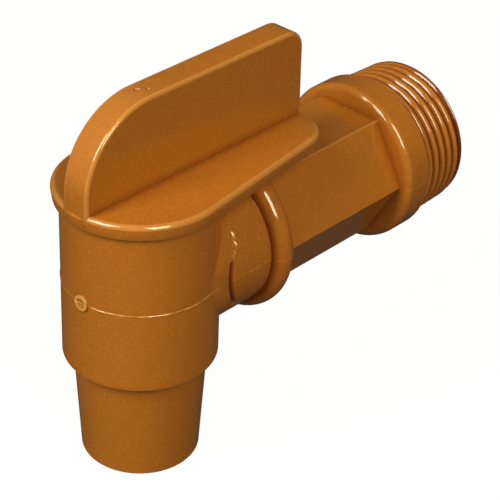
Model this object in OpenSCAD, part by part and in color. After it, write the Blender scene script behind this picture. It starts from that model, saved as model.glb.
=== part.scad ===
// Drum spigot: a two-piece moulded tap for the 3/4 inch bung of a drum. The body is a barrel with a
// side arm that ends in a tapered pipe thread. The plug turns in the barrel: its handle is the plate
// and grip on top, its hollow stem has a port in one side, and its lower end is the spout.
// The arm points along +Y, the plug turns about Z, and the origin is on the arm's axis in the plane
// of the flange's back face, where the thread starts.

/* [Barrel] */
// Outside diameter of the barrel
barrel_d = 25; // [24.6:0.1:26.4]
// Length of the barrel above the arm's axis
barrel_up = 14; // [13.4:0.1:18]
// Length of the barrel below the arm's axis
barrel_down = 14.2; // [13:0.1:22]
// Diameter of the plug's seat at the bottom of the barrel
seat_d = 20.7; // [19.6:0.1:21]
// Growth of the seat's diameter for each millimetre up the barrel
seat_taper = 0.039; // [0.02:0.001:0.05]
// Diameter of the mark that the mould's gate left on the front of the barrel
gate_d = 2.9; // [1.5:0.1:4]
// How far the gate mark stands out
gate_rise = 0.35; // [0.1:0.05:0.6]

/* [Arm] */
// Distance from the plug's axis to the flange's back face
reach = 54.7; // [50:0.1:80]
// Diameter of the round neck next to the barrel
neck_d = 24.2; // [21:0.1:24.4]
// Distance from the plug's axis to the middle of the bead
bead_at = 19.4; // [17:0.1:24]
// Radius of the bead's round section
bead_r = 2; // [1.2:0.1:2.1]
// Width of the hexagon between opposite corners
hex_corners = 24.4; // [22:0.1:26]
// Diameter of the flange
flange_d = 28.3; // [27.6:0.1:34]
// Thickness of the flange along the arm
flange_t = 5.4; // [4:0.1:12]
// Rounding of the flange's front edge
flange_front_r = 1.2; // [0.3:0.1:1.6]
// Rounding of the flange's back edge
flange_back_r = 0.4; // [0.1:0.05:0.4]
// Diameter of the passage where it meets the seat
passage_d = 13.6; // [11:0.1:14]
// Diameter of the passage at the thread's end
mouth_d = 16.4; // [14:0.1:19]

/* [Thread] */
// Outside diameter of the thread next to the flange, 3/4 inch pipe size
thread_d = 26.68; // [26.4:0.01:26.9]
// Length of the thread
thread_len = 10.7; // [8:0.1:20]
// Distance between crests, 14 to the inch
pitch = 1.814; // [1.6:0.001:2.1]
// Height of a crest over its root
thread_h = 1; // [0.5:0.05:1.4]
// Length of plain land between the flange and the first root
land_len = 2.6; // [1.2:0.1:3]
// Loss of diameter for each millimetre along the thread
pipe_taper = 0.0625; // [0.05:0.0005:0.07]

/* [Plug] */
// Radial clearance between the stem and its seat
stem_gap = 0.05; // [0.02:0.01:0.09]
// Gap between the plate and the top of the barrel
top_gap = 0.15; // [0.05:0.05:0.5]
// Gap between the spout's shoulder and the bottom of the barrel
shoulder_gap = 0.3; // [0.1:0.05:0.6]
// Diameter of the port in the side of the stem
port_d = 13; // [10:0.1:13.4]
// Bore of the spout at its mouth
spout_bore_d = 16.4; // [14:0.1:16.8]
// Bore of the stem at its closed upper end
stem_bore_d = 15.6; // [14:0.1:16]
// Thickness of the stem's closed end, with the plate
crown_t = 6.2; // [4:0.1:6.8]
// Length of the spout below its shoulder
spout_len = 18.6; // [12:0.1:30]
// Outside diameter of the spout at its shoulder
spout_top_d = 21.5; // [21.4:0.1:23]
// Outside diameter of the spout at its mouth
spout_end_d = 19.3; // [18.4:0.1:21]

/* [Handle] */
// Diameter of the plate's round front
plate_d = 27.4; // [25.4:0.1:32]
// Thickness of the plate
plate_t = 2.6; // [2:0.1:5]
// Rounding of the plate's top edge
plate_r = 0.8; // [0.3:0.1:1.5]
// Distance from the plug's axis to the tip of the tail
tail_reach = 33.7; // [26:0.1:40]
// Width of the tail at its end
tail_w = 20.2; // [14:0.1:24]
// Radius of the tail's corners in plan
tail_r = 6.4; // [3:0.1:6.8]
// Thickness of the grip
grip_t = 5.2; // [3.5:0.1:8]
// Height of the grip over the plate
grip_h = 15.3; // [13.6:0.1:24]
// Radius of the grip's round front
grip_front_r = 13.4; // [8:0.1:13.4]
// Radius of the grip's upper back corner
grip_back_r = 3.4; // [1.5:0.1:6]
// Rounding of the grip's long edges
grip_edge_r = 0.7; // [0.2:0.1:1.5]

/* [Hidden] */
$fn = 96;
// Facets of the shapes that the rounded plate and grip are stretched over
hull_fn = 48;
// Steps in a quarter turn of a rounded edge
edge_steps = 5;
// Length by which a cut runs past the face that it opens
past = 1;
moulded = [0.66, 0.38, 0.13];

arm_start = 1;
thread_r = thread_d / 2;
flange_r = flange_d / 2;
plate_z = barrel_up + top_gap;
plate_top = plate_z + plate_t;
grip_top = plate_top + grip_h;
shoulder_z = -barrel_down - shoulder_gap;
spout_end_z = shoulder_z - spout_len;
crown_z = plate_top - crown_t;
// Radii of the seat at the bottom and top of the barrel
seat_r0 = seat_d / 2;
seat_r1 = seat_r0 + seat_taper * (barrel_up + barrel_down) / 2;
stem_slope = seat_taper / 2;
// Radii of the stem at the spout's shoulder and under the plate
stem_r0 = seat_r0 - stem_gap - stem_slope * shoulder_gap;
stem_r1 = seat_r1 - stem_gap + stem_slope * top_gap;
// Whole crests that fit behind the land, and the radius at a distance from the flange
crests = floor((thread_len - land_len) / pitch);
function crest_r(y) = thread_r - pipe_taper / 2 * y;
// Share of the pitch that a crest's flat takes, and that a root takes
crest_flat = 0.2;
root_flat = 0.12;
// Where a crest's rounding ends: its share of the thread's height, and of the crest flat's half width
crest_round = 0.2;
crest_spread = 1.9;
// Share of the land that is plain before it falls to the first root
land_plain = 0.75;
// Share of a full crest that the last turn has risen to for each whole pitch of its length
lead_rise = 1.7;
// How deep the centre of the bead's section lies under the neck's surface
bead_sink = 0.1;
// How far the grip stands back from the plate's rim in front, and from the tail's tip behind
front_setback = 0.2;
back_setback = 0.1;
// Length of the last, unfinished turn at the thread's end
thread_lead = thread_len - land_len - crests * pitch;

// Points of a quarter circle of radius r about c, from angle a to a + 90
function arc(c, r, a) = [for (i = [0:edge_steps])
    c + r * [cos(a + 90 * i / edge_steps), sin(a + 90 * i / edge_steps)]];

// Places what is drawn about the plug's axis, with the arm running to the origin
module at_plug() translate([0, -reach, 0]) children();

// Turns a shape drawn up Z so that it runs along the arm
module along_arm() rotate([-90, 0, 0]) children();

// The flange's section, with its two outer edges rounded
module flange_section() {
    front = -flange_t;
    polygon(concat(
        [[0, front]],
        arc([flange_r - flange_front_r, front + flange_front_r], flange_front_r, -90),
        arc([flange_r - flange_back_r, -flange_back_r], flange_back_r, 0),
        [[0, 0]]));
}

// The thread's section: a plain land, then rings with rounded crests on a cone, and a last part turn
module thread_section() {
    ring = function (i) let (
        y = land_len + i * pitch,
        mid = y + pitch * (1 + root_flat) / 2,
        r = crest_r(mid),
        half = pitch * crest_flat / 2)
        [[r - thread_h, y + pitch * root_flat],
         [r - thread_h * crest_round, mid - half * crest_spread],
         [r, mid - half],
         [r, mid + half],
         [r - thread_h * crest_round, mid + half * crest_spread],
         [r - thread_h, y + pitch]];
    root_r = crest_r(thread_len) - thread_h;
    end_r = root_r + thread_h * min(1, lead_rise * thread_lead / pitch);
    polygon(concat(
        [[0, -past], [thread_r, -past], [thread_r, land_len * land_plain], [thread_r - thread_h, land_len]],
        [for (i = [0:crests - 1]) each ring(i)],
        [[root_r, thread_len - thread_lead], [end_r, thread_len], [0, thread_len]]));
}

// Barrel, neck, bead, hexagon, flange and thread as one solid, before the passages are cut
module body_outside() {
    at_plug() {
        translate([0, 0, -barrel_down]) cylinder(d = barrel_d, h = barrel_down + barrel_up);
        along_arm() {
            translate([0, 0, arm_start]) cylinder(d = neck_d, h = bead_at - arm_start);
            translate([0, 0, bead_at]) rotate_extrude() translate([neck_d / 2 - bead_sink, 0]) circle(r = bead_r);
            translate([0, 0, bead_at]) cylinder(d = hex_corners, h = reach - flange_t / 2 - bead_at, $fn = 6);
        }
        // The mark of the mould's gate, straight across the barrel from the arm
        along_arm() translate([0, 0, -barrel_d / 2 - gate_rise])
            cylinder(d = gate_d, h = barrel_d / 4);
    }
    along_arm() rotate_extrude() flange_section();
    along_arm() rotate_extrude() thread_section();
}

// Body: the outside with the plug's tapered seat and the arm's passage cut through it
module body() {
    color(moulded) difference() {
        body_outside();
        at_plug() translate([0, 0, -barrel_down - past])
            cylinder(r1 = seat_r0 - stem_slope * past, r2 = seat_r1 + stem_slope * past,
                     h = barrel_down + barrel_up + 2 * past);
        passage();
    }
}

// The passage narrows along its whole length, from the thread's end to the plug's axis
module passage() {
    run = reach + thread_len;
    narrowing = (mouth_d - passage_d) / 2 / (run - seat_r0);
    along_arm() translate([0, 0, -reach])
        cylinder(r1 = passage_d / 2 - narrowing * seat_r0, r2 = mouth_d / 2 + narrowing * past,
                 h = run + past);
}

// A round slab with its upper edge rounded, for the plate's outline to be stretched over
module plate_round(r) {
    rotate_extrude($fn = hull_fn)
        polygon(concat([[0, 0], [r, 0]], arc([r - plate_r, plate_t - plate_r], plate_r, 0), [[0, plate_t]]));
}

// The plate: a disc over the barrel whose flanks run back to the tail's two rounded corners
module plate() {
    translate([0, 0, plate_z]) hull() {
        plate_round(plate_d / 2);
        for (side = [-1, 1])
            translate([side * (tail_w / 2 - tail_r), tail_reach - tail_r, 0]) plate_round(tail_r);
    }
}

// A disc across the grip with both rims rounded
module grip_round(r) {
    half = grip_t / 2;
    rotate([0, 90, 0]) rotate_extrude($fn = hull_fn)
        polygon(concat(
            [[0, -half]],
            arc([r - grip_edge_r, grip_edge_r - half], grip_edge_r, -90),
            arc([r - grip_edge_r, half - grip_edge_r], grip_edge_r, 0),
            [[0, half]]));
}

// The grip: an upright fin on the plate's middle line, round in front and square behind
module grip() {
    front_z = grip_top - grip_front_r;
    front_y = grip_front_r - plate_d / 2 + front_setback;
    back_y = tail_reach - back_setback - grip_back_r;
    intersection() {
        hull() {
            for (z = [plate_z - grip_front_r, front_z])
                translate([0, front_y, z]) grip_round(grip_front_r);
            for (z = [plate_z - grip_back_r, grip_top - grip_back_r])
                translate([0, back_y, z]) grip_round(grip_back_r);
        }
        translate([-grip_t, -plate_d, plate_z + plate_t / 2])
            cube([2 * grip_t, plate_d + tail_reach + past, grip_top]);
    }
}

// Plug: stem and spout under the plate and grip, bored from below, with the port towards the arm
module plug() {
    color(moulded) at_plug() difference() {
        union() {
            translate([0, 0, shoulder_z])
                cylinder(r1 = stem_r0, r2 = stem_r1, h = plate_z - shoulder_z);
            translate([0, 0, spout_end_z])
                cylinder(d1 = spout_end_d, d2 = spout_top_d, h = spout_len);
            plate();
            grip();
        }
        translate([0, 0, spout_end_z])
            cylinder(d1 = spout_bore_d, d2 = stem_bore_d, h = crown_z - spout_end_z);
        translate([0, 0, spout_end_z - past]) cylinder(d = spout_bore_d, h = 2 * past);
        along_arm() cylinder(d = port_d, h = barrel_d);
    }
}

body();
plug();
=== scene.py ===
# %% [markdown]
# # A moulded drum spigot
#
# The real object is a tap for a drum: two plastic mouldings in one glossy caramel brown. The body
# is a barrel with a side arm that ends in a pipe thread. The plug turns in the barrel, and it is
# the plate and the grip on top, the hollow stem inside and the spout below, all in one piece. The
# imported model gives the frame, the sizes' box and the joint, and this script dresses it.

# %% Load the frame
import bpy
import numpy as np
from mathutils import Matrix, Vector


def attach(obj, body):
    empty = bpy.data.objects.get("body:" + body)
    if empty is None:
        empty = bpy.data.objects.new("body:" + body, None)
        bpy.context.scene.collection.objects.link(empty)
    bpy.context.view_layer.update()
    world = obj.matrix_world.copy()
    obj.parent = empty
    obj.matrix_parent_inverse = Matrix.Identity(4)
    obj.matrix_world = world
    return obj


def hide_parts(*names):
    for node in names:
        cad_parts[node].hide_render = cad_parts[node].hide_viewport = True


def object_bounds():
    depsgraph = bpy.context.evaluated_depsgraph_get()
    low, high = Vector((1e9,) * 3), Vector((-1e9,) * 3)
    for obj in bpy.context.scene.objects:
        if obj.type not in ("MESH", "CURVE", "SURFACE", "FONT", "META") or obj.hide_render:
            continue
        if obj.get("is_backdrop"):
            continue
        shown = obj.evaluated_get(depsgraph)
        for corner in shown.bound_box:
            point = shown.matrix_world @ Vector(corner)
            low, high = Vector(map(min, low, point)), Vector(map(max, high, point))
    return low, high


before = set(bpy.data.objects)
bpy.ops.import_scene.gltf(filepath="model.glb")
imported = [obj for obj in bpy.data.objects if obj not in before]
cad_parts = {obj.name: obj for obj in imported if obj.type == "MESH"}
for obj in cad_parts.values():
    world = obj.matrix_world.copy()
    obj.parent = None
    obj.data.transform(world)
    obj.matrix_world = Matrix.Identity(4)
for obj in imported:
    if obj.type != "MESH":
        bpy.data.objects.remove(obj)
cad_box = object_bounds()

# %% [markdown]
# ## Sizes
#
# The frame is in metres, while a moulding of this size is thought of in millimetres, so every size
# is written in millimetres and multiplied once, when a mesh is made. They repeat the values that
# the solids were built from. The arm runs along +Y and the plug turns about an upright axis, PLUG_Y
# along the arm. Distances along the arm are measured from that axis.

# %% Sizes of the body, in millimetres
MM = 0.001
REACH = 54.7
PLUG_Y = -REACH
BARREL_R, BARREL_TOP, BARREL_BOTTOM = 12.5, 14.0, -14.2
SEAT_R, SEAT_SLOPE = 10.35, 0.0195
NECK_R = 12.1
BEAD_AT, BEAD_R, BEAD_CENTRE_R = 19.4, 2.0, 12.0
HEX_R = 12.2
FLANGE_FRONT, FLANGE_R = 49.3, 14.13
FLANGE_LIP_R, FLANGE_BACK_R = 1.2, 0.2
THREAD_R, THREAD_LENGTH, PITCH, THREAD_DEPTH, TAPER = 13.34, 10.7, 1.814, 1.0, 0.0625
PASSAGE_R, MOUTH_R = 6.8, 8.2
ARM_END = REACH + THREAD_LENGTH

# %% Sizes of the plug, in millimetres
PLATE_Z, PLATE_T, PLATE_R, PLATE_EDGE = 14.15, 2.6, 13.7, 0.8
PLATE_TOP = PLATE_Z + PLATE_T
TAIL_REACH, TAIL_HALF, TAIL_CORNER = 33.7, 10.1, 6.4
GRIP_HALF, GRIP_TOP, GRIP_EDGE = 2.6, 32.05, 0.6
GRIP_FRONT_R, GRIP_BACK_R = 13.4, 3.4
STEM_BOTTOM_R, STEM_TOP_R = 10.294, 10.853
SHOULDER_Z, SPOUT_TOP_R = -14.5, 10.75
SPOUT_Z, SPOUT_END_R, SPOUT_LIP = -33.1, 9.65, 0.45
BORE_BOTTOM_R, BORE_TOP_R, CROWN_Z = 8.2, 7.8, 10.55
PORT_R = 6.5

low, high = (np.array(c) / MM for c in cad_box)
print("box of the solids in mm:", low.round(2), high.round(2))

# %% [markdown]
# ## Closed skins from rings
#
# Both mouldings are solid of wall, so each shape here is a closed skin. It is a grid of points:
# rings that lie one behind the other, with as many points in each. Neighbours make a four-sided
# face, and a fan of triangles closes the first and the last ring onto a point. The volume that the
# faces enclose comes out negative where they are wound inwards, and then every face is turned over.

# %% Skin through a stack of rings
def closed_skin(name, rings, first_pole, last_pole):
    """rings[i, j] is point j of ring i. Face (i, j) joins it to j + 1 and to ring i + 1, and j
    wraps round."""
    count, around = rings.shape[:2]
    points = np.concatenate([rings.reshape(-1, 3), [first_pole, last_pole]])
    i, j = (a.ravel() for a in np.meshgrid(np.arange(count - 1), np.arange(around), indexing="ij"))
    after = (j + 1) % around
    quads = np.stack([i * around + j, i * around + after,
                      (i + 1) * around + after, (i + 1) * around + j], 1)
    rim = np.arange(around)
    ahead = (rim + 1) % around
    pole, last = count * around, (count - 1) * around
    fans = np.concatenate([
        np.stack([np.full(around, pole), ahead, rim], 1),
        np.stack([np.full(around, pole + 1), last + rim, last + ahead], 1)])
    triangles = np.concatenate([quads[:, [0, 1, 2]], quads[:, [0, 2, 3]], fans])
    a, b, c = (points[triangles[:, k]] for k in range(3))
    volume = np.einsum("ij,ij->i", a, np.cross(b, c)).sum() / 6
    if volume < 0:
        quads, fans = quads[:, ::-1], fans[:, ::-1]
    mesh = bpy.data.meshes.new(name)
    mesh.from_pydata((points * MM).tolist(), [], quads.tolist() + fans.tolist())
    skin = bpy.data.objects.new(name, mesh)
    bpy.context.scene.collection.objects.link(skin)
    print(f"{name}: {len(quads) + len(fans)} faces, {abs(volume):.0f} mm3")
    return skin


def turned(name, profile, columns, place):
    """A profile of (radius, height) pairs swung round an axis. place(radius, angle, height) gives
    x, y, z."""
    angle = np.linspace(0, 2 * np.pi, columns, endpoint=False)
    radius, height = np.array(profile).T
    rings = place(radius[:, None], angle[None], height[:, None])
    ends = [place(0.0, 0.0, h) for h in (height[0], height[-1])]
    return closed_skin(name, rings, *ends)


def upright(radius, angle, height):
    """Round the plug's axis: x = radius cos angle, y = PLUG_Y + radius sin angle, z = height."""
    parts = np.broadcast_arrays(radius * np.cos(angle), PLUG_Y + radius * np.sin(angle), height)
    return np.stack(parts, -1)


def along_arm(radius, angle, distance):
    """Round the arm's axis: x = radius cos angle, y = PLUG_Y + distance, z = radius sin angle."""
    parts = np.broadcast_arrays(radius * np.cos(angle), PLUG_Y + distance, radius * np.sin(angle))
    return np.stack(parts, -1)


def arc(centre, radius, first, last, steps=7):
    """Points centre + radius (cos a, sin a), with a from first to last in degrees."""
    a = np.radians(np.linspace(first, last, steps))
    return [(centre[0] + radius * np.cos(t), centre[1] + radius * np.sin(t)) for t in a]


def straight(first, last, steps):
    """Points evenly spaced from first to last, both included."""
    return list(zip(np.linspace(first[0], last[0], steps), np.linspace(first[1], last[1], steps)))

# %% [markdown]
# ## Joining and cutting
#
# A moulding is one skin, so its parts are added together and its bores are cut away with Boolean
# modifiers, which are then applied. Curved faces are shaded smooth, and only edges that bend more
# than a limit stay crisp. The limit lets the shallow corner between barrel and neck shade softly,
# as the small blend there does on the real one.

# %% Boolean, bake and shade
def combine(base, others, operation):
    """Adds or cuts each of the others from base, one after the other, and removes them."""
    for other in others:
        step = base.modifiers.new(operation.title(), "BOOLEAN")
        step.operation, step.solver, step.object = operation, "MANIFOLD", other
        graph = bpy.context.evaluated_depsgraph_get()
        made = bpy.data.meshes.new_from_object(base.evaluated_get(graph))
        base.modifiers.clear()
        base.data = made
        bpy.data.objects.remove(other)


def finish_shading(piece, crisp_degrees):
    """Smooth shading, with the edges that bend more than crisp_degrees kept sharp."""
    mesh = piece.data
    mesh.shade_smooth()
    mesh.set_sharp_from_angle(angle=np.radians(crisp_degrees))
    triangles = sum(len(p.vertices) - 2 for p in mesh.polygons)
    print(f"{piece.name}: {triangles} triangles")

# %% [markdown]
# ## The mould's parting line
#
# The two halves of the mould met in the level plane through the arm's axis, and left a hair of
# raised plastic there: on the barrel, and more faintly on the neck, the bead and the flange. It is
# a bell-shaped rise of the surface, so the grids have extra rows or columns where it runs.

# %% Rise of the parting line
LINE_RISE, LINE_WIDTH, ARM_LINE = 0.09, 0.1, 0.5
LINE_REACH, LINE_STEPS = 0.35, 29
LINE_ROWS = np.linspace(-LINE_REACH, LINE_REACH, LINE_STEPS)


def parting_rise(distance):
    """LINE_RISE exp(-(distance / LINE_WIDTH)^2), for the distance from the parting plane."""
    return LINE_RISE * np.exp(-(distance / LINE_WIDTH) ** 2)

# %% [markdown]
# ## The barrel
#
# An upright round wall around the plug. It is a profile swung round the plug's axis, with its rims
# slightly rounded, as a steel mould leaves them. CLEAR is how far its plain rows stay from the rims
# and from the parting line.

# %% Barrel
BARREL_COLUMNS, PLAIN_ROWS, CLEAR = 224, 6, 1.0
RIM_BOTTOM, RIM_TOP = 0.4, 0.25
HALF = 0.5

barrel_profile = (
    [(BARREL_R * HALF, BARREL_BOTTOM)]
    + arc((BARREL_R - RIM_BOTTOM, BARREL_BOTTOM + RIM_BOTTOM), RIM_BOTTOM, -90, 0)
    + straight((BARREL_R, BARREL_BOTTOM + CLEAR), (BARREL_R, -CLEAR), PLAIN_ROWS)
    + [(BARREL_R + parting_rise(h), h) for h in LINE_ROWS]
    + straight((BARREL_R, CLEAR), (BARREL_R, BARREL_TOP - CLEAR), PLAIN_ROWS)
    + arc((BARREL_R - RIM_TOP, BARREL_TOP - RIM_TOP), RIM_TOP, 0, 90)
    + [(BARREL_R * HALF, BARREL_TOP)])
body = turned("body_moulding", barrel_profile, BARREL_COLUMNS, upright)

# %% [markdown]
# The plastic was fed in at the barrel's front, and the gate left a small ring with a dished middle.
# It is a profile too, swung round the arm's axis and sunk into the barrel's front.

# %% Gate mark
GATE_R, GATE_RISE, GATE_DISH, GATE_CREST_R = 1.45, 0.3, 0.06, 1.08
GATE_DEPTH, GATE_INNER, GATE_COLUMNS = 1.5, 0.1, 64
SLOPE_FROM, SLOPE_TO = np.radians([15, 85])

dish = [(r, GATE_DISH + (GATE_RISE - GATE_DISH) * np.sin(np.pi / 2 * r / GATE_CREST_R) ** 2)
        for r in np.linspace(GATE_INNER, GATE_CREST_R, 9)]
slope = [(GATE_CREST_R + (GATE_R - GATE_CREST_R) * np.sin(a), GATE_RISE * np.cos(a) ** HALF)
         for a in np.linspace(SLOPE_FROM, SLOPE_TO, 7)]
foot = [(GATE_R, 0.0), (GATE_R, -GATE_DEPTH)]
gate_profile = [(r, -BARREL_R - h) for r, h in dish + slope + foot]
gate = turned("gate", gate_profile, GATE_COLUMNS, along_arm)

# %% [markdown]
# ## The arm's sections
#
# The arm is one grid: an angle round the arm, and rows along it. Its radius is a function of both,
# which is all that is needed for a round neck, a half-round bead, a hexagon with slightly rounded
# corners, a flange and a thread. The columns crowd together at the hexagon's corners, where the
# radius turns quickly, and two of those corners are also where the parting line runs.

# %% Columns and the hexagon's radius
CORNERS = 6
SECTOR = 2 * np.pi / CORNERS
CORNER_OFFSETS = np.array([-0.4, -0.24, -0.14, -0.06, 0, 0.06, 0.14, 0.24, 0.4]) / HEX_R
FLAT_COLUMNS, FLAT_MARGIN = 21, 0.7
CORNER_R = 0.3
APOTHEM = HEX_R * np.cos(SECTOR / 2)

flat = np.linspace(FLAT_MARGIN / HEX_R, SECTOR - FLAT_MARGIN / HEX_R, FLAT_COLUMNS)
sector = np.concatenate([CORNER_OFFSETS, flat])
columns = (np.arange(CORNERS)[:, None] * SECTOR + sector).ravel()


def hexagon(angle):
    """APOTHEM / cos(angle from the flat's middle), with an arc of CORNER_R round each corner."""
    from_corner = (angle + SECTOR / 2) % SECTOR - SECTOR / 2
    from_middle = SECTOR / 2 - abs(from_corner)
    plain = APOTHEM / np.cos(from_middle)
    centre = (APOTHEM - CORNER_R) / np.cos(SECTOR / 2)
    across = centre * np.sin(from_corner)
    rounded = centre * np.cos(from_corner) + np.sqrt(np.maximum(CORNER_R ** 2 - across ** 2, 0))
    tangent = np.arctan((APOTHEM - CORNER_R) * np.tan(SECTOR / 2) / APOTHEM)
    return np.where(from_middle < tangent, plain, rounded)


def line_on_arm(radius, angle):
    """The parting line's rise at an angle. Its distance from the plane is radius times sin angle,
    and ARM_LINE is its share of the rise on the barrel."""
    return ARM_LINE * parting_rise(radius * np.sin(angle))


print(len(columns), "columns round the arm")

# %% [markdown]
# The neck carries a witness mark: a ring in the mould, which shaped the top of the barrel, ended
# there. It runs near the curve where an upright cylinder about the plug's axis meets the neck. Low
# down it is a narrow groove, and above it is a lumpy ridge of flash. Both are bell-shaped across
# the mark, and where they lie is a line through a few heights and distances that the photograph
# shows.

# %% Neck and bead
MARK_HEIGHTS = [-7.0, -3.7, -0.6, 2.1, 4.1, 5.2, 6.6, 8.0]
MARK_RADII = [14.8, 14.65, 14.5, 14.45, 14.5, 14.85, 14.45, 13.8]
MARK_DEPTH, MARK_WIDTH, RIDGE_RISE, RIDGE_WIDTH = 0.5, 0.22, 0.32, 0.15
RIDGE_FROM, RIDGE_TO, MARK_BOTTOM, BLEND = 3.6, 8.0, -6.0, 0.8
LUMP_PITCH = 1.3
GROOVE_DEPTH, GROOVE_WIDTH = 0.22, 0.16
NECK_START, NECK_END = 2.0, BEAD_AT - BEAD_R


def smooth_step(t):
    """3 t^2 - 2 t^3 for t held between 0 and 1."""
    t = np.clip(t, 0, 1)
    return t * t * (3 - 2 * t)


def witness_mark(angle, distance):
    """How deep in the groove and how high on the ridge a place on the neck is, each from 0 to 1."""
    height = NECK_R * np.sin(angle)
    out = np.hypot(NECK_R * np.cos(angle), distance) - np.interp(height, MARK_HEIGHTS, MARK_RADII)
    low = smooth_step((RIDGE_FROM - height) / BLEND) * smooth_step((height - MARK_BOTTOM) / BLEND)
    high = smooth_step((height - RIDGE_FROM) / BLEND) * smooth_step((RIDGE_TO - height) / BLEND)
    lumps = HALF + HALF * np.sin(2 * np.pi * height / LUMP_PITCH)
    return low * np.exp(-(out / MARK_WIDTH) ** 2), high * lumps * np.exp(-(out / RIDGE_WIDTH) ** 2)


def neck_radius(angle, distance):
    """NECK_R less the mark's groove, plus its ridge, and less a groove where the bead begins."""
    dip, ridge = witness_mark(angle, distance)
    groove = np.exp(-((distance - NECK_END) / GROOVE_WIDTH) ** 2)
    return NECK_R - MARK_DEPTH * dip + RIDGE_RISE * ridge - GROOVE_DEPTH * groove


def bead_radius(distance):
    """The outer half of a circle: BEAD_CENTRE_R + sqrt(BEAD_R^2 - (distance from BEAD_AT)^2)."""
    return BEAD_CENTRE_R + np.sqrt(np.maximum(BEAD_R ** 2 - (distance - BEAD_AT) ** 2, 0))


around = columns[None]
MARK_START, MARK_END, FINE_STEP, COARSE_STEP = 7.4, 12.4, 0.06, 0.2
INSIDE_ROW, GROOVE_REACH, HAIR = 5.0, 1.0, 0.01
BEAD_FROM, BEAD_TO, BEAD_STEPS = 3, 180, 30
groove_start = NECK_END - GROOVE_REACH
neck_rows = np.concatenate([
    [NECK_START, INSIDE_ROW], np.arange(MARK_START, MARK_END, FINE_STEP),
    np.arange(MARK_END, groove_start, COARSE_STEP),
    np.arange(groove_start, NECK_END + HAIR, FINE_STEP)])[:, None]
neck = neck_radius(around, neck_rows) + line_on_arm(NECK_R, around)
bead_angles = np.radians(np.linspace(BEAD_FROM, BEAD_TO, BEAD_STEPS))
bead_rows = (BEAD_AT - BEAD_R * np.cos(bead_angles))[:, None]
bead_front = np.where(bead_rows < BEAD_AT, neck_radius(around, bead_rows), hexagon(around))
bead = np.maximum(bead_radius(bead_rows) + line_on_arm(BEAD_CENTRE_R + BEAD_R, around), bead_front)

# %% [markdown]
# Behind the bead comes the hexagon for a wrench, and then the flange, which the drum's bung stops
# against. The flange's front edge is rounded widely, and its back edge hardly. BESIDE is how close
# to the rounding, and to the thread, the rings lie that keep the flange's two faces flat.

# %% Hexagon and flange
HEX_FROM, HEX_TO, HEX_STEPS = 22, FLANGE_FRONT - 0.3, 8
BESIDE, RIM_FROM, RIM_TO, LINE_ON_FLANGE = 0.05, 0.1, 0.5, 0.4
hex_rows = np.concatenate([
    [BEAD_AT + BEAD_R + 2 * HAIR], np.linspace(HEX_FROM, HEX_TO, HEX_STEPS),
    [FLANGE_FRONT - 2 * HAIR]])[:, None]
hexagonal = np.broadcast_to(hexagon(around), (len(hex_rows), len(columns)))

flange_profile = (
    [(FLANGE_R - FLANGE_LIP_R - BESIDE, FLANGE_FRONT)]
    + arc((FLANGE_R - FLANGE_LIP_R, FLANGE_FRONT + FLANGE_LIP_R), FLANGE_LIP_R, -90, 0, 11)
    + straight((FLANGE_R, FLANGE_FRONT + FLANGE_LIP_R + RIM_FROM), (FLANGE_R, REACH - RIM_TO), 4)
    + arc((FLANGE_R - FLANGE_BACK_R, REACH - FLANGE_BACK_R), FLANGE_BACK_R, 0, 90)
    + [(THREAD_R + BESIDE, REACH)])
flange_r, flange_rows = (v[:, None] for v in np.array(flange_profile).T)
flange = flange_r + LINE_ON_FLANGE * line_on_arm(FLANGE_R, around)

# %% [markdown]
# ## The thread
#
# A taper pipe thread is right-handed and its crests are rounded. The solids have plain rings, and
# here it is the true helix: the profile's phase moves on with the angle as well as along the arm.
# The thread fades in beside the flange, where the cutter of the mould ran out, and a bevel takes
# off its end.

# %% Thread
CREST_POWER = 2.5
THREAD_STEP = 0.06
PHASE_AT, CREST_AT = np.radians(42), 1.6
FADE_START, FADE_END = 0.1, 1.1
BEVEL_R, BEVEL_SLOPE = 12.75, 1.1


def from_crest(angle, along):
    """How far a place lies from the helix's crest: 0 on the crest and 1 in the root."""
    phase = (along - CREST_AT) / PITCH + (angle - PHASE_AT) / (2 * np.pi)
    return abs((phase + HALF) % 1 - HALF) * 2


def thread_radius(angle, along):
    """The taper's radius less THREAD_DEPTH t^CREST_POWER, where t is 0 on the crest and 1 in the
    root. The power above 1 leaves the crest round and the root sharp."""
    fade = smooth_step((along - FADE_START) / (FADE_END - FADE_START))
    depth = THREAD_DEPTH * from_crest(angle, along) ** CREST_POWER * fade
    radius = THREAD_R - TAPER / 2 * along - depth
    return np.minimum(radius, BEVEL_R + BEVEL_SLOPE * (THREAD_LENGTH - along))


thread_along = np.linspace(HAIR, THREAD_LENGTH, round(THREAD_LENGTH / THREAD_STEP))[:, None]
thread = thread_radius(around, thread_along)

# %% [markdown]
# ## The arm and the whole body
#
# The stretches are stacked into one grid. Then the barrel, the arm and the gate mark are joined,
# and the plug's tapered seat and the arm's passage are cut through them.

# %% Arm
end_face = np.full((1, len(columns)), MOUTH_R - HALF)
stretches = [(neck, neck_rows), (bead, bead_rows), (hexagonal, hex_rows), (flange, flange_rows),
             (thread, REACH + thread_along), (end_face, np.array([[ARM_END]]))]
rings = np.concatenate([along_arm(radius, around, rows) for radius, rows in stretches])
arm = closed_skin("arm", rings, along_arm(0.0, 0.0, NECK_START), along_arm(0.0, 0.0, ARM_END))

# %% Seat, passage and the finished body
PAST, INSIDE_SEAT = 1.0, 4
SEAT_ROWS, SEAT_COLUMNS, PASSAGE_ROWS, PASSAGE_COLUMNS = 8, 192, 12, 128
CRISP_DEGREES = 26

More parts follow.
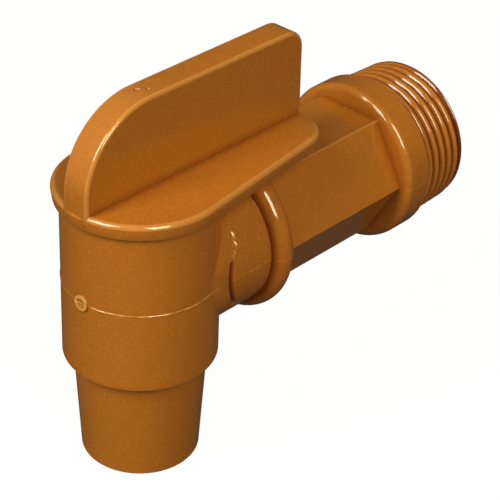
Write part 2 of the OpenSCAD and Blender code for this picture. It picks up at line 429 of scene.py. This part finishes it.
seat_profile = [(SEAT_R + SEAT_SLOPE * (h - BARREL_BOTTOM), h)
                for h in np.linspace(BARREL_BOTTOM - PAST, BARREL_TOP + PAST, SEAT_ROWS)]
seat = turned("seat", seat_profile, SEAT_COLUMNS, upright)
widening = (MOUTH_R - PASSAGE_R) / (ARM_END - SEAT_R)
passage_profile = [(PASSAGE_R + widening * (d - SEAT_R), d)
                   for d in np.linspace(INSIDE_SEAT, ARM_END + PAST, PASSAGE_ROWS)]
passage = turned("passage", passage_profile, PASSAGE_COLUMNS, along_arm)

combine(body, [arm, gate], "UNION")
combine(body, [seat, passage], "DIFFERENCE")
finish_shading(body, CRISP_DEGREES)

# %% [markdown]
# ## The plug's stem and spout
#
# From the plate down, the plug is one turned shape: the tapered stem that seals in the seat, the
# shoulder that holds it in, and the spout. The same profile goes round the spout's lip and up
# inside, so the bore belongs to the skin and needs no cut. Only the port in the stem's side is cut.

# %% Stem, spout and bore
STEM_COLUMNS, STEM_ROWS, SPOUT_ROWS, BORE_ROWS = 192, 8, 10, 12
INNER_LIP, SHOULDER_EDGE, LIP_FROM = 0.25, 0.15, -5
PORT_START, PORT_ROWS, PORT_COLUMNS = 0.5, 6, 96
lip_r = SPOUT_END_R + (SPOUT_TOP_R - SPOUT_END_R) * SPOUT_LIP / (SHOULDER_Z - SPOUT_Z)
lip_z, stem_top = SPOUT_Z + SPOUT_LIP, PLATE_Z + PLATE_T * HALF

stem_profile = (
    [(STEM_TOP_R * HALF, stem_top)]
    + straight((STEM_TOP_R, stem_top), (STEM_BOTTOM_R, SHOULDER_Z), STEM_ROWS)
    + arc((SPOUT_TOP_R - SHOULDER_EDGE, SHOULDER_Z - SHOULDER_EDGE), SHOULDER_EDGE, 90, 0, 4)
    + straight((SPOUT_TOP_R, SHOULDER_Z), (lip_r, lip_z), SPOUT_ROWS)[1:]
    + arc((lip_r - SPOUT_LIP, lip_z), SPOUT_LIP, LIP_FROM, -90, 9)
    + arc((BORE_BOTTOM_R + INNER_LIP, SPOUT_Z + INNER_LIP), INNER_LIP, -90, -180, 5)
    + straight((BORE_BOTTOM_R, SPOUT_Z), (BORE_TOP_R, CROWN_Z), BORE_ROWS)[1:]
    + [(BORE_TOP_R * HALF, CROWN_Z)])
plug = turned("plug_moulding", stem_profile, STEM_COLUMNS, upright)
port_profile = straight((PORT_R, PORT_START), (PORT_R, BARREL_R), PORT_ROWS)
port = turned("port", port_profile, PORT_COLUMNS, along_arm)

# %% [markdown]
# ## The plate and the grip
#
# Each is a slab with a rounded outline and rounded edges. An outline is a chain of arcs with
# straight runs between them. Every point is kept as an arc's centre, its radius and the direction
# outwards, so the same outline set in by any amount is the centre plus the smaller radius in that
# direction.

# %% Outline of arcs, and a slab over it
FEWEST_STEPS = 6
SHRINK = (0.75, 0.45, 0.18)


def outline(arcs, spacing=0.7, run_steps=10):
    """arcs holds (centre a, centre b, radius, first degree, last degree), and each ends facing as
    the next begins. Returns centres, radii and outward directions, with run_steps points on each
    straight run."""
    centres, radii, angles = [], [], []
    for k, (a, b, radius, first, last) in enumerate(arcs):
        steps = max(FEWEST_STEPS, round(abs(np.radians(last - first)) * radius / spacing))
        t = np.radians(np.linspace(first, last, steps))
        centres.append(np.broadcast_to((a, b), (steps, 2)))
        radii.append(np.full(steps, radius))
        angles.append(t)
        following = arcs[(k + 1) % len(arcs)]
        mix = np.linspace(0, 1, run_steps + 2)[1:-1]
        centres.append((1 - mix)[:, None] * (a, b) + mix[:, None] * following[:2])
        radii.append((1 - mix) * radius + mix * following[2])
        angles.append(np.full(run_steps, t[-1]))
    angles = np.concatenate(angles)
    outward = np.stack([np.cos(angles), np.sin(angles)], -1)
    return np.concatenate(centres), np.concatenate(radii), outward


def slab(name, shape, profile, middle, place, shrink=SHRINK):
    """Rings centre + (radius - inset) direction at each (inset, height) of the profile. At both
    ends they shrink towards the middle, which the fan then closes. place(a, b, height) gives
    x, y, z."""
    centres, radii, outward = shape
    middle = np.array(middle, float)
    flat_rings = [centres + (radii - inset)[:, None] * outward for inset, _ in profile]
    heights = [h for _, h in profile]
    first = [middle + s * (flat_rings[0] - middle) for s in reversed(shrink)]
    last = [middle + s * (flat_rings[-1] - middle) for s in shrink]
    stack = np.array(first + flat_rings + last)
    levels = np.array([heights[0]] * len(shrink) + heights + [heights[-1]] * len(shrink))
    rings = place(stack[..., 0], stack[..., 1], levels[:, None])
    return closed_skin(name, rings, place(*middle, heights[0]), place(*middle, heights[-1]))

# %% [markdown]
# The plate is a disc over the barrel with a tail that runs back over the bead. Its flanks are the
# common tangents of the disc and of the tail's two corners. The side leans in a little towards the
# bottom, as the mould needs to let it go, and only the top edge has a full rounding. HOLD is how
# close to a rounding the ring lies that keeps the face next to it flat.

# %% Plate
def on_plate(a, b, height):
    """The outline lies level: x = a, y = PLUG_Y + b, z = height."""
    return np.stack(np.broadcast_arrays(a, PLUG_Y + b, height), -1)


SIDE_LEAN, LOWER_EDGE, HOLD = 0.25, 0.2, 0.08
tail_x, tail_y = TAIL_HALF - TAIL_CORNER, TAIL_REACH - TAIL_CORNER
lean_angle = np.degrees(np.arctan2(tail_y, tail_x)
                        - np.arccos((PLATE_R - TAIL_CORNER) / np.hypot(tail_x, tail_y)))
plate_shape = outline([
    (tail_x, tail_y, TAIL_CORNER, lean_angle, 90),
    (-tail_x, tail_y, TAIL_CORNER, 90, 180 - lean_angle),
    (0, 0, PLATE_R, 180 - lean_angle, 360 + lean_angle)])
rounding = arc((PLATE_EDGE, PLATE_TOP - PLATE_EDGE), PLATE_EDGE, 180, 90, 9)
plate_profile = (
    [(SIDE_LEAN + LOWER_EDGE + HOLD, PLATE_Z)]
    + arc((SIDE_LEAN + LOWER_EDGE, PLATE_Z + LOWER_EDGE), LOWER_EDGE, 270, 180, 4)
    + rounding + [(PLATE_EDGE + HOLD, PLATE_TOP)])
plate = slab("plate", plate_shape, plate_profile, (0, TAIL_REACH / 4), on_plate)
print(f"the flanks lean {lean_angle:.1f} degrees")

# %% [markdown]
# The grip is an upright fin on the plate's middle line. Its front is a quarter circle that comes
# down flush with the plate's rim, so that the two run into each other there, and its back is square
# with a rounded corner. Its foot is sunk into the plate.

# %% Grip
def on_grip(a, b, height):
    """The outline stands upright along the arm: x = height, y = PLUG_Y + a, z = b."""
    return np.stack(np.broadcast_arrays(height, PLUG_Y + a, b), -1)


SET_IN, FOOT_SINK, GRIP_MIDDLE, BACK_LEAN = 0.1, 0.4, 8, 1.0
GRIP_FRONT, GRIP_BACK, FOOT_Z, FOOT_R = -13.55, TAIL_REACH - SET_IN, PLATE_Z + FOOT_SINK, 1.0
front_y, front_z = GRIP_FRONT + GRIP_FRONT_R, GRIP_TOP - GRIP_FRONT_R
lean_in = (GRIP_TOP - PLATE_TOP) * np.tan(np.radians(BACK_LEAN))
grip_shape = outline([
    (front_y, front_z, GRIP_FRONT_R, 180, 90),
    (GRIP_BACK - lean_in - GRIP_BACK_R, GRIP_TOP - GRIP_BACK_R, GRIP_BACK_R, 90, BACK_LEAN),
    (GRIP_BACK - FOOT_R, FOOT_Z + FOOT_R, FOOT_R, BACK_LEAN, -90),
    (GRIP_FRONT + FOOT_R, FOOT_Z + FOOT_R, FOOT_R, -90, -180)])
grip_profile = (
    [(GRIP_EDGE + HOLD, -GRIP_HALF)]
    + arc((GRIP_EDGE, GRIP_EDGE - GRIP_HALF), GRIP_EDGE, 270, 180, 8)
    + arc((GRIP_EDGE, GRIP_HALF - GRIP_EDGE), GRIP_EDGE, 180, 90, 8)
    + [(GRIP_EDGE + HOLD, GRIP_HALF)])
grip_middle = (GRIP_MIDDLE, (FOOT_Z + GRIP_TOP) * HALF)
grip = slab("grip", grip_shape, grip_profile, grip_middle, on_grip)

# %% [markdown]
# Two small dents on the grip's top are where pins pushed the moulding out of its mould. Each is an
# egg whose middle lies on the surface, and only its lower half cuts.

# %% Pin marks, and the whole plug
PINS = {"wide_pin": (-0.4, -0.4, 0.6, 0.3), "narrow_pin": (0.45, 1.1, 0.4, 0.35)}
POLE_GAP, EGG_ROWS, EGG_COLUMNS = 8, 14, 32


def pin_mark(name, x, y, radius, depth):
    """An egg at the grip's top surface: at angle a from its pole it is radius sin a wide and
    depth cos a high."""
    from_pole = np.radians(np.linspace(POLE_GAP, 180 - POLE_GAP, EGG_ROWS))
    egg = [(radius * np.sin(a), depth * np.cos(a)) for a in from_pole]

    def over_grip(radius, angle, height):
        return upright(radius, angle, GRIP_TOP + height) + np.array([x, y, 0.0])

    return turned(name, egg, EGG_COLUMNS, over_grip)


pins = [pin_mark(name, *sizes) for name, sizes in PINS.items()]
combine(plug, [plate, grip], "UNION")
combine(plug, [port] + pins, "DIFFERENCE")
finish_shading(plug, CRISP_DEGREES)

# %% [markdown]
# ## Onto the frame
#
# Each moulding takes the place of its node and rides on that node's body.

# %% Replace and ride
for piece, name in ((body, "body"), (plug, "plug")):
    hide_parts(name)
    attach(piece, name)

# %% [markdown]
# ## Shader maths in Python
#
# A small class wraps a socket, so that an expression on values adds its own Math nodes. Any other
# node comes from one method, which takes its type, its settings and what its sockets are given.

# %% Sockets that can be added and multiplied
class Value:
    """One output socket with its node tree. value + 1, 1 - value and value * value each add a
    Math node."""

    def __init__(self, tree, socket):
        self.tree, self.socket = tree, socket

    def node(self, kind, settings=None, output=0, **inputs):
        return add_node(self.tree, kind, settings, output, **inputs)

    def math(self, operation, first, second=0.0):
        return self.node("ShaderNodeMath", {"operation": operation}, 0, i0=first, i1=second)

    def __add__(self, other): return self.math("ADD", self, other)
    def __radd__(self, other): return self.math("ADD", other, self)
    def __sub__(self, other): return self.math("SUBTRACT", self, other)
    def __rsub__(self, other): return self.math("SUBTRACT", other, self)
    def __mul__(self, other): return self.math("MULTIPLY", self, other)
    def __rmul__(self, other): return self.math("MULTIPLY", other, self)
    def __truediv__(self, other): return self.math("DIVIDE", self, other)
    def __rtruediv__(self, other): return self.math("DIVIDE", other, self)
    def __pow__(self, other): return self.math("POWER", self, other)


def add_node(tree, kind, settings=None, output=0, **inputs):
    """Adds a node and sets its settings, then its sockets: by name, with _ for a space, or i0, i1
    by number."""
    made = tree.nodes.new(kind)
    for key, setting in (settings or {}).items():
        setattr(made, key, setting)
    for key, given in inputs.items():
        by_number = key[0] == "i" and key[1:].isdigit()
        socket = made.inputs[int(key[1:]) if by_number else key.replace("_", " ")]
        if isinstance(given, Value):
            tree.links.new(given.socket, socket)
        else:
            socket.default_value = given
    return Value(tree, made.outputs[output])

# %% [markdown]
# ## Where the plastic is pale, and where light and shade are painted
#
# Narrow edges get painted light: a pale tone that stands in for the light which a narrow edge
# lets through and for its highlights. A vertex lies on such an edge when the surface bends away
# tightly on two sides of it, which the normals at both ends of each mesh edge tell. On one side
# alone it is where a rounding meets a flat, and that stays as it is. The grip's front, between
# its two edges, gets a little painted sheen too, for its glossy reflection.

# %% Painted light on edges
TIGHT, TIGHTER, SHORTEST = 0.45, 1.15, 0.03


def edge_strength(mesh):
    """For every vertex, how far it lies on a tight edge. The bend of a mesh edge is
    (n1 - n0).(p1 - p0) / |p1 - p0|^2, or 1 / radius in mm, brought to 0 at TIGHT and 1 at TIGHTER.
    It is added up over the vertex's mesh edges, and the sum less 1 is the result, from 0 to 1."""
    points, normals = np.empty((2, 3 * len(mesh.vertices)))
    pairs = np.empty(2 * len(mesh.edges), np.int32)
    mesh.vertices.foreach_get("co", points)
    mesh.vertices.foreach_get("normal", normals)
    mesh.edges.foreach_get("vertices", pairs)
    points, normals = points.reshape(-1, 3) / MM, normals.reshape(-1, 3)
    a, b = pairs.reshape(-1, 2).T
    step = points[b] - points[a]
    length = np.linalg.norm(step, axis=1)
    bend = np.einsum("ij,ij->i", normals[b] - normals[a], step) / np.maximum(length, SHORTEST) ** 2
    tight = smooth_step((bend - TIGHT) / (TIGHTER - TIGHT))
    total = np.bincount(a, tight, len(points)) + np.bincount(b, tight, len(points))
    return points, np.clip(total - 1, 0, 1)


# The attribute carries pale plastic and painted light above 0, and painted shade below 0.
def keep_tone(mesh, pale_and_painted_light_shade):
    """Keeps one number for every vertex as the attribute that the material reads."""
    attribute = mesh.attributes.new("pale_and_painted_light_shade", "FLOAT", "POINT")
    attribute.data.foreach_set("value", pale_and_painted_light_shade.astype(np.float32))
    print(f"{mesh.name}: {(pale_and_painted_light_shade > 0).sum()} pale and {(pale_and_painted_light_shade < 0).sum()} dark of {len(pale_and_painted_light_shade)} points")


# Painted light: the pale tone of the tight edges, and the painted sheen on the grip's front.
PAINTED_EDGE_LIGHT, PAINTED_SHEEN = 0.17, 0.08
SHEEN_ABOVE_PLATE, SHEEN_RISE, SHEEN_BACK_TO, SHEEN_FADE = 2, 4, 6, 10
points, edge = edge_strength(plug.data)
x, distance, z = (points - [0, PLUG_Y, 0]).T
painted_front_sheen = smooth_step((z - PLATE_TOP - SHEEN_ABOVE_PLATE) / SHEEN_RISE)
painted_front_sheen *= (abs(x) < GRIP_HALF - GRIP_EDGE * HALF) * smooth_step((SHEEN_BACK_TO - distance) / SHEEN_FADE)
keep_tone(plug.data, PAINTED_EDGE_LIGHT * edge + PAINTED_SHEEN * painted_front_sheen)

# %% [markdown]
# The body has more. The gate mark's ring is pale, as stretched plastic turns pale. The hair of the
# parting line, which is broken here and there, and the ridge on the neck are pale, partly as flash
# and partly as painted glint where they catch the light. Narrow grooves, the crease before the bead
# and the thread's roots get painted shade, because hardly any light gets out of them, and the
# thread's last turn gets painted shade where it faces away from the lamps. Where a mark lies is
# known from the formulas that shaped it, so all of them go into the same attribute: above 0 is pale
# plastic and painted light, below 0 is painted shade. SKIN is the margin that keeps the whole of a
# surface on one side of a radius.

# %% Marks on the body
# The tones of the parting line and of the ridge are partly the flash's own pale and partly painted
# glint. The tones of the grooves, the crease, the thread's roots and its end are painted shade.
LINE_PALE_AND_GLINT, ARM_TONE, RIDGE_PALE_AND_GLINT, DISH_TONE, RING_TONE, RING_WIDTH = 0.85, 0.35, 1.0, 0.08, 0.55, 0.2
PAINTED_GROOVE_SHADE, PAINTED_CREASE_SHADE, CREASE_WIDTH = 0.8, 0.35, 0.3
PAINTED_ROOT_SHADE, ROOT_POWER, PAINTED_END_SHADE, END_BAND = 0.6, 4, 0.5, 0.7
FAINTEST, WAVE_LEVEL = 0.15, 0.45
LONG_WAVE, LONG_RATE, SHORT_WAVE, SHORT_RATE, SHORT_SHIFT = 0.45, 1.3, 0.35, 3.1, 1.0
SKIN, PAST_BARREL, NEAR_LINE = 1.0, 6, 4 * LINE_WIDTH


def line_strength(x, distance):
    """WAVE_LEVEL and two waves of different length along the line, held between FAINTEST and 1.
    They set the strength of its pale flash and painted glint. Beyond the gate it is only FAINTEST
    of that."""
    along = x + distance
    short_wave = SHORT_WAVE * np.sin(SHORT_RATE * along + SHORT_SHIFT)
    waves = WAVE_LEVEL + LONG_WAVE * np.sin(LONG_RATE * along) + short_wave
    return np.clip(waves, FAINTEST, 1) * np.where(x < -GATE_R, FAINTEST, 1)


def bell(distance, width):
    """exp(-(distance / width)^2), which is 1 at 0 and next to nothing beyond two widths."""
    return np.exp(-(distance / width) ** 2)


points, edge = edge_strength(body.data)
x, distance, z = (points - [0, PLUG_Y, 0]).T
arm_r, plug_r = np.hypot(x, z), np.hypot(x, distance)
angle, along = np.arctan2(z, x), distance - REACH
outside = np.where(distance < NECK_START + PAST_BARREL,
                   plug_r > BARREL_R - RIM_BOTTOM, arm_r > NECK_R - SKIN)
on_neck = (distance > MARK_START) & (distance < MARK_END) & outside
on_thread = (along > FADE_START) & (arm_r > MOUTH_R + SKIN)
on_gate = (arm_r < GATE_R) & (distance < -BARREL_R - GATE_DISH * HALF)
near_line = bell(z, NEAR_LINE) * outside * (along < 0)

# groove places painted shade in the witness mark's groove; ridge places pale flash and painted
# glint.
groove, ridge = (on_neck * strength for strength in witness_mark(angle, distance))
line = LINE_PALE_AND_GLINT * bell(z, LINE_WIDTH) * line_strength(x, distance) * outside * (along < 0)
line *= np.where(plug_r < BARREL_R + SKIN, 1, ARM_TONE)
gate_tone = on_gate * (DISH_TONE + RING_TONE * bell(arm_r - GATE_CREST_R, RING_WIDTH))
marked = on_gate | (outside & (distance > MARK_START) & (distance < NECK_END + CREASE_WIDTH))
# Painted light on the body's tight edges, as on the plug.
painted_light_on_body_edges = PAINTED_EDGE_LIGHT * edge * (1 - near_line) * ~marked * np.where(on_thread, HALF, 1)
pale = np.clip(line + gate_tone + RIDGE_PALE_AND_GLINT * ridge + painted_light_on_body_edges, 0, 1)

# Painted shade in the crease before the bead, in the thread's roots and on the thread's last turn;
# dark sums all the painted shade.
crease_for_painted_shade = outside * bell(distance - NECK_END, CREASE_WIDTH)
root = on_thread * from_crest(angle, along) ** ROOT_POWER
end_for_painted_shade = on_thread * (along > THREAD_LENGTH - END_BAND) * (arm_r < BEVEL_R + BEVEL_SLOPE)
grooves = PAINTED_GROOVE_SHADE * groove + PAINTED_CREASE_SHADE * crease_for_painted_shade
dark = np.clip(grooves + PAINTED_ROOT_SHADE * root + PAINTED_END_SHADE * end_for_painted_shade, 0, 1)
keep_tone(body.data, np.where(pale > dark, pale, -dark))

# %% [markdown]
# ## The plastic
#
# Both mouldings are the same glossy polyethylene, coloured caramel. Close up it isn't even: the
# pigment clouds a little over several millimetres, a mottle of about a millimetre lies over that,
# and a fine grain over both. Sharp inner corners get painted shade, which the ambient occlusion
# node finds from the shape alone, and the attribute below 0 adds painted shade in grooves. The
# painted shade is redder than the rest, as light that comes out of a corner has gone through more
# plastic: DEEPEN is its power in red, green and blue. A few pale specks, which are painted glints,
# lie on the skin, where the surface happens to pass within SPECK_R of the middle of a cell of a
# Voronoi pattern. The skin has the mould's polish, so its bump is a shallow ripple. A little light
# enters the plastic and comes out again nearby, mostly the red of it.

# %% Plastic
PIGMENT, PALE_AND_PAINTED_LIGHT = (0.40, 0.138, 0.017, 1), (0.85, 0.5, 0.18, 1)
CORNER_REACH, PAINTED_CORNER_SHADE, CORNER_POWER, OCCLUSION_RAYS = 1.8, 0.9, 1.3, 8
DEEPEN = (0.8, 1.3, 1.6)
CLOUDS, MOTTLE, GRAIN = 0.08, 0.2, 0.5
CLOUD_SCALE, MOTTLE_SCALE, GRAIN_SCALE, MOTTLE_ROUGH = 110, 750, 2600, 0.6
SPECK_CELLS, SPECK_R, PAINTED_GLINT_TONE = 280, 0.045, 0.9
RIPPLE_SCALE, FINE_SCALE, FINE_SHARE = 420, 2200, 0.35
RIPPLE_DEPTH, RIPPLE_STRENGTH = 0.00003, 0.15
SMOOTHEST, DULLER_CLOUDS, DULLER_MOTTLE = 0.07, 0.05, 0.06
CONSTANTS = {"IOR": 1.58, "Specular IOR Level": 0.65, "Subsurface Weight": 0.12,
             "Subsurface Radius": (1.0, 0.45, 0.15), "Subsurface Scale": 0.0012}


def plastic(name, seed):
    """Colour = PIGMENT (1 + clouds + mottle + grain), with painted shade in corners and grooves,
    and mixed with a pale colour on edges, marks and specks: the gate's and the flash's own pale,
    and painted light as glints, pale edges and sheen."""
    material = bpy.data.materials.new(name)
    material.use_nodes = True
    tree = material.node_tree
    shader = tree.nodes["Principled BSDF"]
    place = add_node(tree, "ShaderNodeTexCoord", None, "Object")
    shifted = place.node("ShaderNodeMapping", None, 0, Vector=place, Location=(seed, seed, seed))

    def noise(scale, detail, rough=HALF):
        return place.node("ShaderNodeTexNoise", None, "Fac", Vector=shifted,
                          Scale=scale, Detail=detail, Roughness=rough)

    def mixed(settings, first, second, share):
        return place.node("ShaderNodeMix", {"data_type": "RGBA", **settings}, 2,
                          i0=share, i6=first, i7=second)

    clouds, mottle = noise(CLOUD_SCALE, 2), noise(MOTTLE_SCALE, 3, MOTTLE_ROUGH)
    grain = noise(GRAIN_SCALE, 2)
    uneven = 1 + (clouds - HALF) * CLOUDS + (mottle - HALF) * MOTTLE + (grain - HALF) * GRAIN
    openness = place.node("ShaderNodeAmbientOcclusion",
                          {"samples": OCCLUSION_RAYS, "only_local": True}, "AO",
                          Distance=CORNER_REACH * MM)
    pale_and_painted_light_shade = place.node("ShaderNodeAttribute", {"attribute_name": "pale_and_painted_light_shade"}, "Fac")
    # Painted shade: darker in corners by ambient occlusion, and where the attribute is below 0.
    corners = 1 - PAINTED_CORNER_SHADE * (1 - openness) ** CORNER_POWER
    painted_shade = corners * (1 + place.math("MINIMUM", pale_and_painted_light_shade, 0.0))
    red, green, blue = (uneven * painted_shade ** power for power in DEEPEN)
    tones = place.node("ShaderNodeCombineColor", None, 0, Red=red, Green=green, Blue=blue)
    toned = mixed({"blend_type": "MULTIPLY"}, PIGMENT, tones, 1.0)

    # Pale specks, which are painted glints.
    from_speck = place.node("ShaderNodeTexVoronoi", None, "Distance", Vector=shifted,
                            Scale=SPECK_CELLS)
    specks = PAINTED_GLINT_TONE * (1 - from_speck / SPECK_R)
    # The pale colour: the flash's and the gate's own pale, and painted light on edges, sheen and
    # glints.
    paleness_and_painted_light = place.math("MAXIMUM", place.math("MAXIMUM", pale_and_painted_light_shade, specks), 0.0)
    colour = mixed({}, toned, PALE_AND_PAINTED_LIGHT, paleness_and_painted_light)

    roughness = SMOOTHEST + DULLER_CLOUDS * clouds + DULLER_MOTTLE * mottle
    height = noise(RIPPLE_SCALE, 2) + FINE_SHARE * noise(FINE_SCALE, 2)
    ripple = place.node("ShaderNodeBump", None, 0, Height=height,
                        Distance=RIPPLE_DEPTH, Strength=RIPPLE_STRENGTH)
    for given, socket in ((colour, "Base Color"), (roughness, "Roughness"), (ripple, "Normal")):
        tree.links.new(given.socket, shader.inputs[socket])
    for socket, constant in CONSTANTS.items():
        shader.inputs[socket].default_value = constant
    return material


SEEDS = {"body_plastic": 3.1, "plug_plastic": 7.7}
for piece, (name, seed) in zip((body, plug), SEEDS.items()):
    piece.data.materials.clear()
    piece.data.materials.append(plastic(name, seed))
    print(piece.name, "is finished in", name)

# %% [markdown]
# ## Floor
#
# The photograph's ground is plain white. The floor is pale and keeps a faint shadow: what the
# camera sees of it is part lit surface and part even white, which glows just over white to make up
# for the shadow's share. The plastic mirrors it faintly, because the real undersides are dark, and
# other light finds a dark floor, so that it doesn't light them either.

# %% What counts as seen
IN_REFLECTION = 0.035


def in_view(tree):
    """1 for a camera ray or one through clear plastic, IN_REFLECTION for a reflected one, and 0 for
    other light."""
    path = {name: add_node(tree, "ShaderNodeLightPath", None, f"Is {name} Ray")
            for name in ("Camera", "Glossy", "Transmission")}
    return path["Camera"] + path["Transmission"] + IN_REFLECTION * path["Glossy"]

# %% Floor
FLOOR_HALF, WHITE = 1.5, (1, 1, 1, 1)
floor_z = SPOUT_Z * MM
corners = [(x * FLOOR_HALF, y * FLOOR_HALF, floor_z)
           for x, y in ((-1, -1), (1, -1), (1, 1), (-1, 1))]
floor_mesh = bpy.data.meshes.new("floor")
floor_mesh.from_pydata(corners, [], [(0, 1, 2, 3)])
floor = bpy.data.objects.new("floor", floor_mesh)
bpy.context.scene.collection.objects.link(floor)

ground = bpy.data.materials.new("floor_paper")
ground.use_nodes = True
tree = ground.node_tree
tree.nodes.clear()
EVEN_WHITE, GLOW, PALE, DARKER = 0.93, 1.03, (0.9, 0.9, 0.95, 1), (0.06, 0.036, 0.01, 1)
lit = add_node(tree, "ShaderNodeBsdfDiffuse", None, 0, Color=PALE)
dark = add_node(tree, "ShaderNodeBsdfDiffuse", None, 0, Color=DARKER)
white = add_node(tree, "ShaderNodeEmission", None, 0, Color=WHITE, Strength=GLOW)
shown = add_node(tree, "ShaderNodeMixShader", None, 0, i0=EVEN_WHITE, i1=lit, i2=white)
out = add_node(tree, "ShaderNodeMixShader", None, 0, i0=in_view(tree), i1=dark, i2=shown)
surface = tree.nodes.new("ShaderNodeOutputMaterial")
tree.links.new(out.socket, surface.inputs["Surface"])
floor_mesh.materials.append(ground)
floor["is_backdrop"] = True

# %% [markdown]
# ## Light
#
# The highlights in the photograph show two soft boxes. One stands to the right of the camera and
# lights the bead, the lower half of the flange's lip and the right of the plate's rim. The other
# stands to its left, and lights the grip's front edge, the rest of the rim and the thread's crests.
# Both are warm, as the photograph's highlights are. The room around them is dim and warm for the
# object, and white where the camera sees it.

# %% Lights and room
AIM_ALONG = 22
target = np.array([0.0, PLUG_Y + AIM_ALONG, 0.0]) * MM
WARM, PALE_WARM = (1.0, 0.89, 0.58), (1.0, 0.94, 0.73)


def soft_light(name, direction, distance, width, height, watts, colour):
    """A lamp of width by height, at a distance from the object in a direction, facing it. All are
    in metres."""
    data = bpy.data.lights.new(name, "AREA")
    data.shape, data.size, data.size_y = "RECTANGLE", width, height
    data.energy, data.color = watts, colour
    lamp = bpy.data.objects.new(name, data)
    bpy.context.scene.collection.objects.link(lamp)
    back = np.array(direction, float) / np.linalg.norm(direction)
    side = np.cross((0, 0, 1), back)
    side = side / np.linalg.norm(side)
    up = np.cross(back, side)
    turn = np.eye(4)
    turn[:3, 0], turn[:3, 1], turn[:3, 2], turn[:3, 3] = side, up, back, target + back * distance
    lamp.matrix_world = Matrix(turn.tolist())
    print(f"{name}: {watts} W, {width} m wide and {height} m high, {distance} m away")


soft_light("right_box", (0.73, -0.29, 0.62), distance=0.7, width=0.26, height=0.4, watts=3.9,
           colour=WARM)
soft_light("left_box", (-0.10, -0.75, 0.65), distance=0.8, width=0.42, height=0.46, watts=6.7,
           colour=PALE_WARM)

world = bpy.data.worlds.new("room")
bpy.context.scene.world = world
world.use_nodes = True
tree = world.node_tree
tree.nodes.clear()
ROOM, ROOM_TINT = 0.045, (1.0, 0.8, 0.35, 1)
room = add_node(tree, "ShaderNodeBackground", None, 0, Color=ROOM_TINT, Strength=ROOM)
backdrop = add_node(tree, "ShaderNodeBackground", None, 0, Color=WHITE, Strength=1.0)
mixed = add_node(tree, "ShaderNodeMixShader", None, 0, i0=in_view(tree), i1=room, i2=backdrop)
surface = tree.nodes.new("ShaderNodeOutputWorld")
tree.links.new(mixed.socket, surface.inputs["Surface"])
bpy.context.scene.view_settings.view_transform = "Standard"

# %% [markdown]
# ## Camera
#
# The photograph's camera was worked out from the object's edges: where it stood, how it was turned
# and how long its lens was. Azimuth is measured from +Y towards +X, elevation is how far it looks
# down, and roll is how far the frame is turned about the line of sight.

# %% Camera
AZIMUTH, ELEVATION, ROLL = np.radians([-41.889, 32.904, 2.244])
STANDPOINT = np.array([172.71, -167.13 + PLUG_Y, 159.88])
SENSOR, FOCAL, NEAREST, FARTHEST = 36.0, 132.607, 0.01, 10

ahead = np.array([np.sin(AZIMUTH) * np.cos(ELEVATION), np.cos(AZIMUTH) * np.cos(ELEVATION),
                  -np.sin(ELEVATION)])
level = np.array([np.cos(AZIMUTH), -np.sin(AZIMUTH), 0.0])
above = np.cross(level, ahead)
right = np.cos(ROLL) * level + np.sin(ROLL) * above
upward = np.cos(ROLL) * above - np.sin(ROLL) * level
pose = np.eye(4)
pose[:3, 0], pose[:3, 1], pose[:3, 2], pose[:3, 3] = right, upward, -ahead, STANDPOINT * MM

camera_data = bpy.data.cameras.new("camera")
camera_data.sensor_width, camera_data.lens = SENSOR, FOCAL
camera_data.clip_start, camera_data.clip_end = NEAREST, FARTHEST
camera = bpy.data.objects.new("camera", camera_data)
bpy.context.scene.collection.objects.link(camera)
camera.matrix_world = Matrix(pose.tolist())
bpy.context.scene.camera = camera
print("camera stands", round(float(np.linalg.norm(STANDPOINT - target / MM))), "mm from the object")

# %% [markdown]
# ## The two boxes
#
# Both boxes are printed, so that it can be seen that the dressed object is no larger than its
# solids.

visual_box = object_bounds()
for label, box in (("solids", cad_box), ("dressed", visual_box)):
    print(label, [[round(v / MM, 2) for v in c] for c in box])
